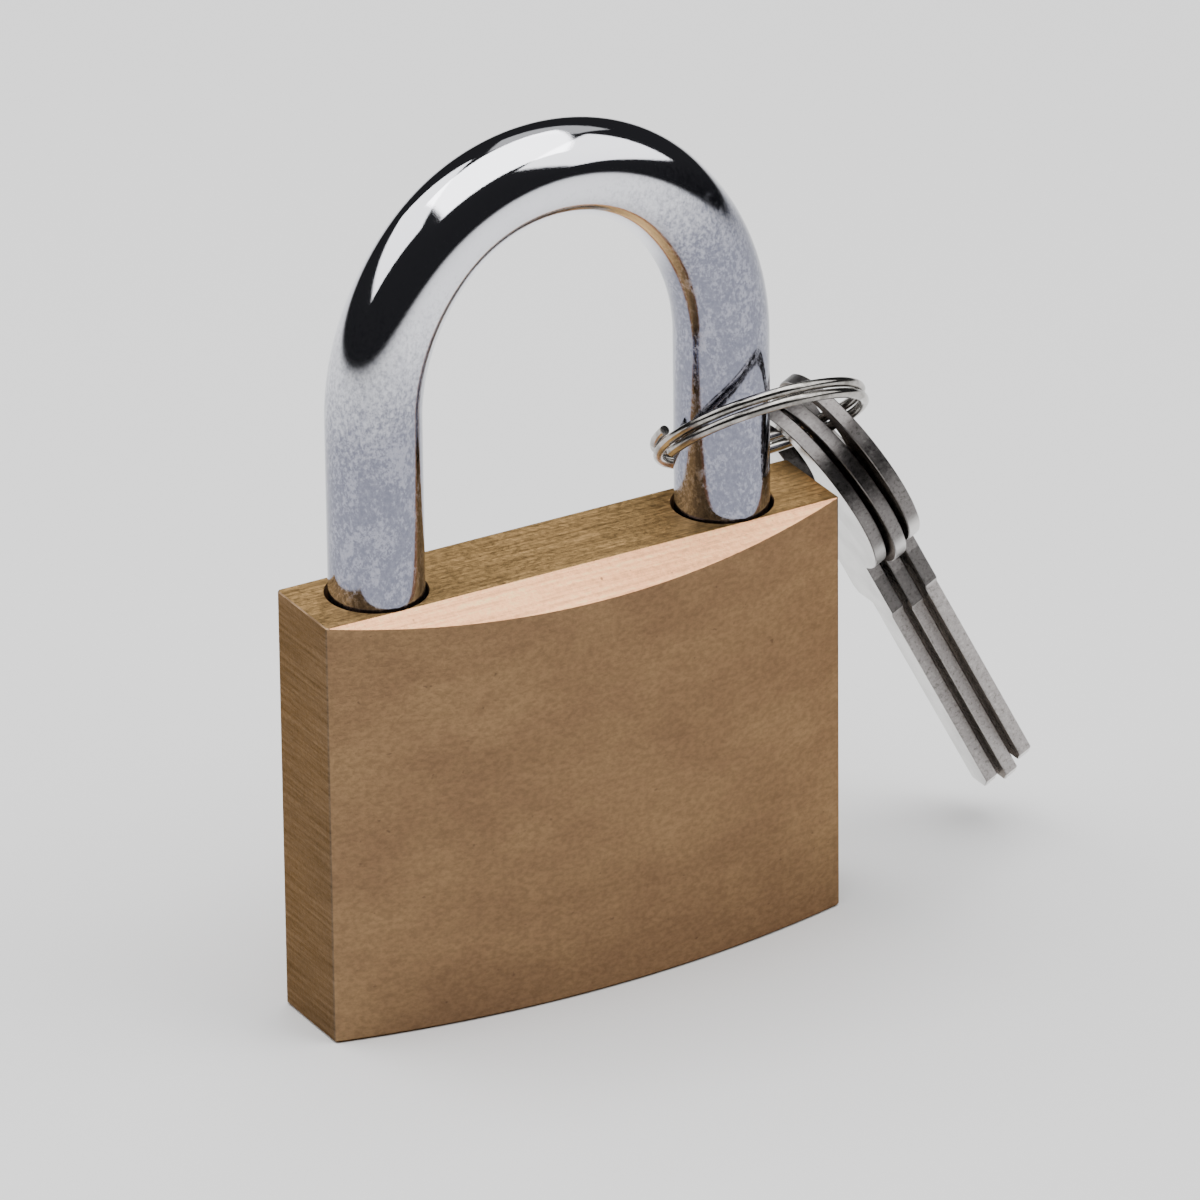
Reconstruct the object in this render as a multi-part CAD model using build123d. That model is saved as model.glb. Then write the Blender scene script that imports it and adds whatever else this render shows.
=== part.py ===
from build123d import *
import math
import os

# Brass padlock: pin tumbler lock, chromed shackle, split ring and three keys.
# The origin is the middle of the underside, X runs along the width, -Y is the front and +Z is up.

# Body block
body_width = 60.0
body_height = 47.1
end_thickness = 10.5
face_bow = 3.73
top_chamfer_drop = 2.7
corner_radius = 0.5
edge_break = 0.3

# Shackle bar and arch
bar_diameter = 9.9
heel_margin = 8.65
toe_margin = 10.85
leg_straight = 19.1
haunch_extra = 4.4
haunch_angle = 43.5
end_chamfer = 0.9

# Shackle travel, heel and toe
shackle_lift = 12.0
toe_release = 0.4
toe_hole_floor_gap = 1.0
heel_floor = 4.0
heel_spring_length = 8.9
collar_height = 3.5
neck_diameter = 6.6
heel_pin_diameter = 2.4
neck_end_gap = 0.5

# Locking bolt and its notch
notch_height = 5.8
notch_depth = 1.6
notch_radius = 8.7
bolt_diameter = 6.0
bolt_nose_diameter = 2.0
bolt_nose_length = 2.2
bolt_rear_land = 3.6
bolt_spring_length = 9.0
bore_plug_length = 4.2

# Plug, tailpiece and keyway
plug_diameter = 12.0
plug_recess = 0.5
plug_turn = 90.0
groove_depth = 0.8
retaining_pin_diameter = 1.6
tang_width = 2.4
tang_depth = 1.2
cam_radius = 3.4
cam_pin_diameter = 2.0
cam_pin_rise = 1.5
cam_rim = 0.4
cam_disc_thickness = 2.0
stem_diameter = 6.0

# Pin stacks
pin_count = 5
pin_spacing = 4.0
first_pin = 5.5
pin_diameter = 2.8
pin_tip_length = 1.0
pin_tip_diameter = 1.0
pin_sides = 12
driver_length = 5.0
pin_spring_length = 9.5

# Keys, with u from the hole to the tip and v across the blade
key_thickness = 1.5
bow_diameter = 20.8
bow_hole_diameter = 7.8
hole_rise = 5.2
shoulder_width = 8.0
shoulder_foot = 22.4
shoulder_slope = 0.9
blade_step = 0.6
blade_width = 6.5
blade_length = 26.6
blade_tip_bevel = 1.6
blade_lead_bevel = 2.4
blade_edge_depth = 3.5
ward_width = 2.4
ward_depth = 0.7
cut_depths = (0.9, 1.7, 1.2, 1.9, 0.7)
cut_flat = 1.3
cut_slope = 50.0

# Split ring and how the keys hang on it
ring_radius = 10.9
ring_wire = 1.05
ring_pitch = 1.5
ring_turns = 2
ring_tilt = 41.0
ring_lean = 3.0
ring_side_gap = 1.175
ring_forward = 0.5
ring_height = 7.9
last_key_turn = 42.9
lean_step = 1e-6
key_edge_gap = 0.78
key_gap = 0.3
key_hang = (2.2, 2.0, 0.1)
key_side = (0.7, 0.3, 0.0)

# Springs
pin_spring_wire = 0.4
pin_spring_turns = 5
bolt_spring_wire = 0.6
bolt_spring_turns = 5
heel_spring_wire = 1.0
heel_spring_turns = 4
spring_runs = 6
spring_sides = 4
ring_sides = 6
gap_points = 48

# Fits and gaps
leg_hole_gap = 0.3
running_fit = 0.05
press_fit = 0.02
seat_gap = 0.3
spring_gap = 0.2
face_sink = 0.3
slide_gap = 0.25
overrun = 1.0

# Places that follow from the sizes above
half_width = body_width / 2
half_end = end_thickness / 2
bar_radius = bar_diameter / 2
leg_hole_radius = bar_radius + leg_hole_gap
heel_x = heel_margin - half_width
toe_x = half_width - toe_margin
toe_end = body_height - shackle_lift + toe_release
heel_end = heel_floor + heel_spring_length
collar_top = heel_end + collar_height
heel_pin_radius = heel_pin_diameter / 2
heel_pin_z = collar_top + shackle_lift + heel_pin_radius + seat_gap
heel_pin_x = heel_x + neck_diameter / 2 + heel_pin_radius + seat_gap
neck_top = heel_pin_z + heel_pin_radius + neck_end_gap
bolt_z = toe_end + notch_height
bolt_radius = bolt_diameter / 2
bolt_bore_radius = bolt_radius + running_fit
bolt_tip = toe_x - bar_radius + notch_depth - seat_gap
cam_pin_radius = cam_pin_diameter / 2
cam_x = cam_radius * math.sin(math.radians(plug_turn / 2))
cam_y = cam_radius * math.cos(math.radians(plug_turn / 2))
bolt_rear = cam_x - cam_pin_radius - slide_gap - bolt_rear_land
bolt_bore_end = bolt_rear - bolt_spring_length
plug_radius = plug_diameter / 2
plug_bore_radius = plug_radius + running_fit
keyway_top = plug_recess + blade_length + seat_gap
retaining_pin_radius = retaining_pin_diameter / 2
retaining_z = keyway_top + seat_gap + running_fit + retaining_pin_radius
retaining_x = running_fit + plug_radius - groove_depth + retaining_pin_radius
groove_top = retaining_z + retaining_pin_radius + running_fit
plug_top = groove_top + seat_gap + tang_depth
cam_disc_radius = cam_radius + cam_pin_radius + cam_rim
tail_bore_radius = cam_disc_radius + seat_gap
cam_disc_top = bolt_z - bolt_radius - seat_gap
cam_pin_top = bolt_z + cam_pin_rise
tail_bore_top = cam_pin_top + seat_gap
pin_radius = pin_diameter / 2
chamber_radius = pin_radius + running_fit
pin_heights = [plug_recess + first_pin + i * pin_spacing for i in range(pin_count)]
shear_out = plug_radius + 2 * running_fit
shear_in = math.sqrt((plug_radius - running_fit) ** 2 - pin_radius ** 2)
driver_end = shear_out + driver_length
chamber_plug_start = driver_end + pin_spring_length
blade_near = blade_step - shoulder_width / 2
blade_far = blade_near + blade_width
blade_cut_edge = plug_radius - blade_edge_depth
pin_floor = blade_cut_edge - max(cut_depths) - seat_gap
STAND = (Align.CENTER, Align.CENTER, Align.MIN)


def half_thickness(x):
    """Half the body's thickness at a place along its width."""
    bow_radius = (half_width ** 2 + face_bow ** 2) / (2 * face_bow)
    return half_end + math.sqrt(bow_radius ** 2 - x ** 2) - (bow_radius - face_bow)


def rod(start, direction, radius, length):
    """A round bar from a point along a direction."""
    return Plane(origin=start, z_dir=direction) * Cylinder(radius, length, align=STAND)


def box_between(low, high):
    """A box given by two opposite corners."""
    size = [b - a for a, b in zip(low, high)]
    middle = [(a + b) / 2 for a, b in zip(low, high)]
    return Pos(*middle) * Box(*size)


def helix_point(radius, pitch, turn):
    """Place on a helix about Z after a number of turns."""
    angle = 2 * math.pi * turn
    return Vector(radius * math.cos(angle), radius * math.sin(angle), pitch * turn)


def helix_tangent(radius, pitch, turn):
    """Direction of a helix about Z after a number of turns."""
    angle = 2 * math.pi * turn
    rise = pitch / (2 * math.pi)
    return Vector(-radius * math.sin(angle), radius * math.cos(angle), rise).normalized()


def helix_wire(radius, pitch, turns):
    """A helix of half turns, each made of two arcs that meet in line."""
    arcs = []
    for half in range(round(2 * turns)):
        start = helix_point(radius, pitch, half / 2)
        end = helix_point(radius, pitch, half / 2 + 0.5)
        leave = helix_tangent(radius, pitch, half / 2)
        arrive = helix_tangent(radius, pitch, half / 2 + 0.5)
        chord = end - start
        both = leave + arrive
        # The reach along both tangents that makes the two arcs meet
        a = 4 - both.dot(both)
        b = 2 * chord.dot(both)
        reach = (math.sqrt(b * b + 4 * a * chord.dot(chord)) - b) / (2 * a)
        joint = (start + end + (leave - arrive) * reach) / 2
        arcs.append(TangentArc(start, joint, tangent=leave))
        arcs.append(TangentArc(joint, end, tangent=arcs[-1] % 1))
    return Wire([arc.edge() for arc in arcs])


def helix_points(radius, pitch, turns, per_turn):
    """Evenly spaced places along a helix about Z."""
    return [helix_point(radius, pitch, i / per_turn) for i in range(round(turns * per_turn) + 1)]


def print_gap(name, radius, wire, pitch, turns):
    """Print the least gap between the turns of a wound wire."""
    points = helix_points(radius, pitch, turns, gap_points)
    apart = round(gap_points / 2)
    gaps = [(b - a).length - wire for i, a in enumerate(points) for b in points[i + apart:]]
    print(f"{name}: least gap to itself {min(gaps):.2f} mm")


def spring(start, direction, length, coil_radius, wire, turns, name):
    """A compression spring between two seats, just clear of both, with each turn in short straight runs."""
    pitch = (length - 2 * spring_gap - wire) / turns
    print_gap(name, coil_radius, wire, pitch, turns)
    path = Polyline(helix_points(coil_radius, pitch, turns, spring_runs))
    section = Plane(origin=path @ 0, z_dir=path % 0) * RegularPolygon(wire / 2, spring_sides)
    foot = Vector(*start) + Vector(*direction) * (spring_gap + wire / 2)
    return Plane(origin=foot, z_dir=direction) * sweep(section, path, transition=Transition.RIGHT)


def lens_outline():
    """Plan of the body: bowed broad faces between two flat narrow sides."""
    front_left = (-half_width, -half_end)
    front_right = (half_width, -half_end)
    back_right = (half_width, half_end)
    back_left = (-half_width, half_end)
    outline = Curve() + [
        ThreePointArc(front_left, (0, -half_end - face_bow), front_right),
        Line(front_right, back_right),
        ThreePointArc(back_right, (0, half_end + face_bow), back_left),
        Line(back_left, front_left),
    ]
    face = make_face(outline)
    return fillet(face.vertices(), corner_radius)


def top_wedge(side):
    """The wedge that the top chamfer takes off one broad face."""
    out = half_end + 2 * face_bow
    section = Polyline(
        (side * half_end, body_height),
        (side * out, body_height - 2 * top_chamfer_drop),
        (side * out, body_height + overrun),
        (side * half_end, body_height + overrun),
        close=True,
    )
    return extrude(Plane.YZ * make_face(section), body_width, both=True)


def body_bores():
    """Every bore that the works of the lock need in the body."""
    deep = body_height
    bores = [
        rod((heel_x, 0, heel_floor), (0, 0, 1), leg_hole_radius, deep),
        rod((toe_x, 0, toe_end - toe_hole_floor_gap), (0, 0, 1), leg_hole_radius, deep),
        rod((0, 0, -overrun), (0, 0, 1), plug_bore_radius, plug_top + seat_gap + overrun),
        rod((0, 0, plug_recess), (0, 0, 1), tail_bore_radius, tail_bore_top - plug_recess),
        rod((bolt_bore_end, 0, bolt_z), (1, 0, 0), bolt_bore_radius, body_width),
    ]
    bores += [rod((0, 0, z), (1, 0, 0), chamber_radius, body_width) for z in pin_heights]
    for x, z, radius in cross_pins():
        start = (x, -half_end, z)
        bores.append(rod(start, (0, 1, 0), radius + press_fit, body_width))
    return bores


def cross_pins():
    """Place and radius of the two pins driven in from the back face."""
    return [(heel_pin_x, heel_pin_z, heel_pin_radius), (-retaining_x, retaining_z, retaining_pin_radius)]


def cross_pin(x, z, radius):
    """A pin across the body, sunk a little below the back face."""
    start = -half_end + seat_gap
    return rod((x, start, z), (0, 1, 0), radius, half_thickness(x) - face_sink - start)


def make_body():
    """The drilled brass block."""
    block = extrude(lens_outline(), body_height)
    block = chamfer(block.faces().sort_by(Axis.Z)[0].edges(), edge_break)
    for side in (-1, 1):
        block -= top_wedge(side)
    return block - body_bores()


def make_shackle():
    """Round bar bent to an arch of three arcs, with a necked heel and a notch ground in the toe."""
    half_span = (toe_x - heel_x) / 2
    haunch_radius = half_span + haunch_extra
    crown_radius = haunch_radius - haunch_extra / math.cos(math.radians(haunch_angle))
    spring_line = body_height + leg_straight
    with BuildLine(Plane.XZ) as path:
        heel_leg = Line((heel_x, heel_end), (heel_x, spring_line))
        rise = JernArc(heel_leg @ 1, heel_leg % 1, haunch_radius, -haunch_angle)
        crown = JernArc(rise @ 1, rise % 1, crown_radius, 2 * haunch_angle - 180)
        fall = JernArc(crown @ 1, crown % 1, haunch_radius, -haunch_angle)
        Line(fall @ 1, (toe_x, toe_end))
    bar = sweep(Pos(heel_x, 0, heel_end) * Circle(bar_radius), path.wire())
    bar = chamfer(bar.faces().filter_by(GeomType.PLANE).edges(), end_chamfer)
    neck = rod((heel_x, 0, collar_top), (0, 0, 1), bar_diameter, neck_top - collar_top)
    neck -= rod((heel_x, 0, collar_top), (0, 0, 1), neck_diameter / 2, neck_top - collar_top)
    wheel_x = toe_x - bar_radius + notch_depth - notch_radius
    notch = rod((wheel_x, -bar_diameter, bolt_z), (0, 1, 0), notch_radius, 2 * bar_diameter)
    return bar - neck - notch


def make_locking_bolt():
    """Round bolt with a coned nose and a slot in its back for the tailpiece's pin."""
    neck = bolt_tip - bolt_nose_length
    bolt = rod((bolt_rear, 0, bolt_z), (1, 0, 0), bolt_radius, neck - bolt_rear)
    nose = Cone(bolt_radius, bolt_nose_diameter / 2, bolt_nose_length, align=STAND)
    bolt += Plane(origin=(neck, 0, bolt_z), z_dir=(1, 0, 0)) * nose
    reach = cam_pin_radius + slide_gap
    slot = box_between(
        (cam_x - reach, cam_y - reach, bolt_z - bolt_diameter),
        (cam_x + reach, bolt_diameter, bolt_z + bolt_diameter),
    )
    return bolt - slot


def make_bolt_bore_plug():
    """Press-fit plug at the narrow side, outside the toe's hole."""
    start = half_width - face_sink - bore_plug_length
    return rod((start, 0, bolt_z), (1, 0, 0), bolt_bore_radius - press_fit, bore_plug_length)


def keyway():
    """Slot for the blade, narrower where the blade's ward is milled away."""
    side = key_thickness / 2 + running_fit * 2
    back = blade_cut_edge - blade_width - slide_gap
    front = blade_cut_edge + slide_gap
    step = blade_cut_edge - ward_width
    low = box_between((back, -side, 0), (step, side, keyway_top))
    return low + box_between((step, ward_depth - side, 0), (front, side, keyway_top))


def make_plug():
    """Turning cylinder with the keyway, pin holes, retaining groove and a slot for the tailpiece."""
    plug = rod((0, 0, plug_recess), (0, 0, 1), plug_radius, plug_top - plug_recess)
    groove_low = retaining_z - retaining_pin_radius - running_fit
    groove = rod((0, 0, groove_low), (0, 0, 1), plug_diameter, groove_top - groove_low)
    groove -= rod((0, 0, groove_low), (0, 0, 1), plug_radius - groove_depth, groove_top - groove_low)
    slot = box_between(
        (-plug_diameter, -tang_width / 2, plug_top - tang_depth),
        (plug_diameter, tang_width / 2, plug_top + overrun),
    )
    holes = [rod((pin_floor, 0, z), (1, 0, 0), chamber_radius, plug_diameter) for z in pin_heights]
    return plug - keyway() - groove - slot - holes


def make_tailpiece():
    """Stem keyed to the plug, with a disc and the off-centre pin that draws the bolt."""
    half_tang = tang_width / 2 - running_fit
    half_length = cam_disc_radius
    tang_foot = plug_top - tang_depth + running_fit
    tail = box_between((-half_length, -half_tang, tang_foot), (half_length, half_tang, plug_top))
    tail += rod((0, 0, plug_top), (0, 0, 1), stem_diameter / 2, cam_disc_top - plug_top)
    tail += rod((0, 0, cam_disc_top - cam_disc_thickness), (0, 0, 1), cam_disc_radius, cam_disc_thickness)
    return tail + rod((cam_x, cam_y, cam_disc_top), (0, 0, 1), cam_pin_radius, cam_pin_top - cam_disc_top)


def pin_flat(x, index, radius):
    """Outline of a pin of many flats, square to the pin, at a place along it."""
    return Plane(origin=(x, 0, pin_heights[index]), z_dir=(1, 0, 0)) * RegularPolygon(radius, pin_sides)


def make_key_pin(index):
    """Pin with a coned tip that reaches down to the key's cut."""
    tip = blade_cut_edge - cut_depths[index]
    neck = tip + pin_tip_length
    cone = loft([pin_flat(tip, index, pin_tip_diameter / 2), pin_flat(neck, index, pin_radius)], ruled=True)
    return cone + extrude(pin_flat(neck, index, pin_radius), shear_in - neck)


def make_driver_pin(index):
    """Plain pin outside the shear line."""
    return extrude(pin_flat(shear_out, index, pin_radius), driver_length)


def make_pin_spring(index):
    """Spring between a driver pin and its chamber's plug."""
    radius = chamber_radius - spring_gap - pin_spring_wire / 2
    start = (driver_end, 0, pin_heights[index])
    name = f"pin_spring_{index + 1}"
    return spring(start, (1, 0, 0), pin_spring_length, radius, pin_spring_wire, pin_spring_turns, name)


def make_chamber_plugs():
    """Press-fit plugs that close the pin chambers at the narrow side."""
    length = half_width - face_sink - chamber_plug_start
    radius = chamber_radius - press_fit
    return Compound([rod((chamber_plug_start, 0, z), (1, 0, 0), radius, length).solid() for z in pin_heights])


def make_bolt_spring():
    """Spring behind the bolt."""
    radius = bolt_bore_radius - spring_gap - bolt_spring_wire / 2
    start = (bolt_bore_end, 0, bolt_z)
    name = "bolt_spring"
    return spring(start, (1, 0, 0), bolt_spring_length, radius, bolt_spring_wire, bolt_spring_turns, name)


def make_shackle_spring():
    """Spring under the heel."""
    radius = leg_hole_radius - spring_gap - heel_spring_wire
    start = (heel_x, 0, heel_floor)
    name = "shackle_spring"
    return spring(start, (0, 0, 1), heel_spring_length, radius, heel_spring_wire, heel_spring_turns, name)


def ring_plane():
    """Plane of the split ring: its X points right, its Y up to the front."""
    tilt = math.radians(ring_tilt)
    lean = math.radians(ring_lean)
    normal = Vector(math.sin(lean), math.sin(tilt) * math.cos(lean), math.cos(tilt) * math.cos(lean))
    centre_x = toe_x + ring_radius - ring_wire / 2 - bar_radius - ring_side_gap
    centre = (centre_x, -ring_forward, body_height + ring_height)
    return Plane(origin=centre, x_dir=(normal.Z, 0, -normal.X), z_dir=-normal)


def make_split_ring():
    """Two turns of wire round the toe leg, with its ends at the left."""
    print_gap("split_ring", ring_radius, ring_wire, ring_pitch, ring_turns)
    path = helix_wire(ring_radius, ring_pitch, ring_turns)
    section = Plane(origin=path @ 0, z_dir=path % 0) * RegularPolygon(ring_wire / 2, ring_sides)
    rise = ring_pitch * ring_turns / 2
    return ring_plane() * Pos(0, 0, -rise) * Rot(0, 0, 180) * sweep(section, path)


def key_offset(index):
    """Distance of a key's middle plane from the body's top edge."""
    return key_edge_gap + key_thickness / 2 + index * (key_thickness + key_gap)


def key_axes():
    """Directions along the blade and square to the key's face, at the lean that fits the ring.

    The last key crosses the wire at its set turn from the ring's outermost point. The lean is found
    by halving a range.
    """
    ring = ring_plane()
    from_ring = Vector(half_width, 0, body_height) - ring.origin
    low, high = 0.0, math.pi / 2
    while high - low > lean_step:
        lean = (low + high) / 2
        square = Vector(math.cos(lean), 0, math.sin(lean))
        in_ring = square - ring.z_dir * square.dot(ring.z_dir)
        wire = ring_radius * in_ring.length * math.cos(math.radians(last_key_turn))
        if from_ring.dot(square) + key_offset(len(key_hang) - 1) > wire:
            low = lean
        else:
            high = lean
    return Vector(math.sin(lean), 0, -math.cos(lean)), square


def key_plane(index):
    """Where a key hangs: its face lies past the body's top edge, its hole on the ring's wire."""
    along, square = key_axes()
    ring = ring_plane()
    out = Vector(half_width, 0, body_height).dot(square) + key_offset(index)
    a = ring_radius * ring.x_dir.dot(square)
    b = ring_radius * ring.y_dir.dot(square)
    angle = math.atan2(b, a) - math.acos((out - ring.origin.dot(square)) / math.hypot(a, b))
    radial = ring.x_dir * math.cos(angle) + ring.y_dir * math.sin(angle)
    hole = ring.origin + radial * ring_radius + along * key_hang[index] + Vector(0, key_side[index], 0)
    return Plane(origin=hole, x_dir=along, z_dir=square)


def shoulder_outline():
    """Neck from the bow to the shoulder, whose foot slopes in to the blade."""
    half = shoulder_width / 2
    slope = shoulder_foot - shoulder_slope
    return make_face(
        Polyline(
            (hole_rise, -half),
            (slope, -half),
            (shoulder_foot, blade_step - half),
            (shoulder_foot, half - blade_step),
            (slope, half),
            (hole_rise, half),
            close=True,
        )
    )


def blade_outline():
    """Blade from its shoulder to a bevelled tip."""
    tip = shoulder_foot + blade_length
    bevel = blade_tip_bevel
    return make_face(
        Polyline(
            (shoulder_foot - bevel, blade_near),
            (tip - bevel, blade_near),
            (tip, blade_near + bevel),
            (tip, blade_far - blade_lead_bevel),
            (tip - blade_lead_bevel, blade_far),
            (shoulder_foot - bevel, blade_far),
            close=True,
        )
    )


def cut_outline(index):
    """One cut in the blade's far edge, with sloping sides."""
    place = shoulder_foot + first_pin + index * pin_spacing
    floor = blade_far - cut_depths[index]
    top = blade_far + overrun
    spread = cut_flat / 2 + (top - floor) / math.tan(math.radians(cut_slope))
    return make_face(
        Polyline(
            (place - cut_flat / 2, floor),
            (place + cut_flat / 2, floor),
            (place + spread, top),
            (place - spread, top),
            close=True,
        )
    )


def make_key(index):
    """Flat key: round bow with a hole, a shoulder and a cut blade with one milled ward."""
    bow = Pos(hole_rise, 0) * Circle(bow_diameter / 2)
    outline = bow + shoulder_outline() + blade_outline() - Circle(bow_hole_diameter / 2)
    for cut in range(pin_count):
        outline -= cut_outline(cut)
    flat = extrude(outline, key_thickness / 2, both=True)
    ward = box_between(
        (shoulder_foot, blade_far - ward_width, -key_thickness),
        (shoulder_foot + 2 * blade_length, 2 * shoulder_width, ward_depth - key_thickness / 2),
    )
    return key_plane(index) * (flat - ward)


nodes = {
    "body": make_body(),
    "shackle": make_shackle(),
    "locking_bolt": make_locking_bolt(),
    "bolt_spring": make_bolt_spring(),
    "bolt_bore_plug": make_bolt_bore_plug(),
    "plug": make_plug(),
    "tailpiece": make_tailpiece(),
    "heel_pin": cross_pin(*cross_pins()[0]),
    "plug_retaining_pin": cross_pin(*cross_pins()[1]),
    "shackle_spring": make_shackle_spring(),
    "chamber_plugs": make_chamber_plugs(),
    "split_ring": make_split_ring(),
}
for number in range(pin_count):
    nodes[f"key_pin_{number + 1}"] = make_key_pin(number)
    nodes[f"driver_pin_{number + 1}"] = make_driver_pin(number)
    nodes[f"pin_spring_{number + 1}"] = make_pin_spring(number)
for number in range(len(key_hang)):
    nodes[f"key_{number + 1}"] = make_key(number)

os.makedirs("parts", exist_ok=True)
for node, shape in nodes.items():
    export_step(shape, f"parts/{node}.step")
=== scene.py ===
import logging
import math
from dataclasses import dataclass, field
from enum import Enum

import bmesh
import bpy
import numpy as np
from mathutils import Matrix, Vector


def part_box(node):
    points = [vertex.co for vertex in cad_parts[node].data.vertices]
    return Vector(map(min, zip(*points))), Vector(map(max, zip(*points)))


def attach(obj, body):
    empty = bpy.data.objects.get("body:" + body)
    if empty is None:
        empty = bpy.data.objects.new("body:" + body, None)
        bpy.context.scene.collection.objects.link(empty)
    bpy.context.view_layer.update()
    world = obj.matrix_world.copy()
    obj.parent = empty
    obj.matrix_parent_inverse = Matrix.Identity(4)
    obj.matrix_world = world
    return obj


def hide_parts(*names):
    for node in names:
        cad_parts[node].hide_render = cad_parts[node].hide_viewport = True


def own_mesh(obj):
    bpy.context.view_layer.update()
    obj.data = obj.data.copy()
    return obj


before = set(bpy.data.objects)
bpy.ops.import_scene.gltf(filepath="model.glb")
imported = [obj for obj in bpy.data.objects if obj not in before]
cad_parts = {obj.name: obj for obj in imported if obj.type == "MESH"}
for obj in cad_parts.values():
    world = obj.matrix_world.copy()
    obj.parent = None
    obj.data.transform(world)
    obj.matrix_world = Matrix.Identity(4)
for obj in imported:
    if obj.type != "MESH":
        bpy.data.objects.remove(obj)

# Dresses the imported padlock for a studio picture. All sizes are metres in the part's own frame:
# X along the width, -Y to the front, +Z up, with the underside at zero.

Socket = bpy.types.NodeSocket
Colour = tuple[float, float, float]
Triple = tuple[float, float, float]

JOIN = 1e-6  # points closer than this are one point
FLAT_TURN = 0.4  # degrees: faces that turn by less are joined
CREASE = 20.0  # degrees: edges that turn by more stay sharp
WIRE_CREASE = 50.0  # degrees: the same for a wire's cut ends
PLAIN_CORNERS = 8  # faces with more corners are shaded flat
COLOUR_A, COLOUR_B, COLOUR_OUT = 6, 7, 2  # sockets of a Mix node for colours
VALUE_A, VALUE_B, VALUE_OUT = 2, 3, 0  # sockets of a Mix node for values

log = logging.getLogger("padlock")


class Slot(Enum):
    """Material slots of the record."""

    BODY = "brass_body"
    PLUG = "brass_plug"
    PLUGS = "brass_plugs"
    CHROME = "chromed_steel"
    WIRE = "nickelled_wire"
    KEY = "nickelled_key"
    CROSS_PIN = "pin_steel"
    SPRING = "spring_steel"


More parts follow.
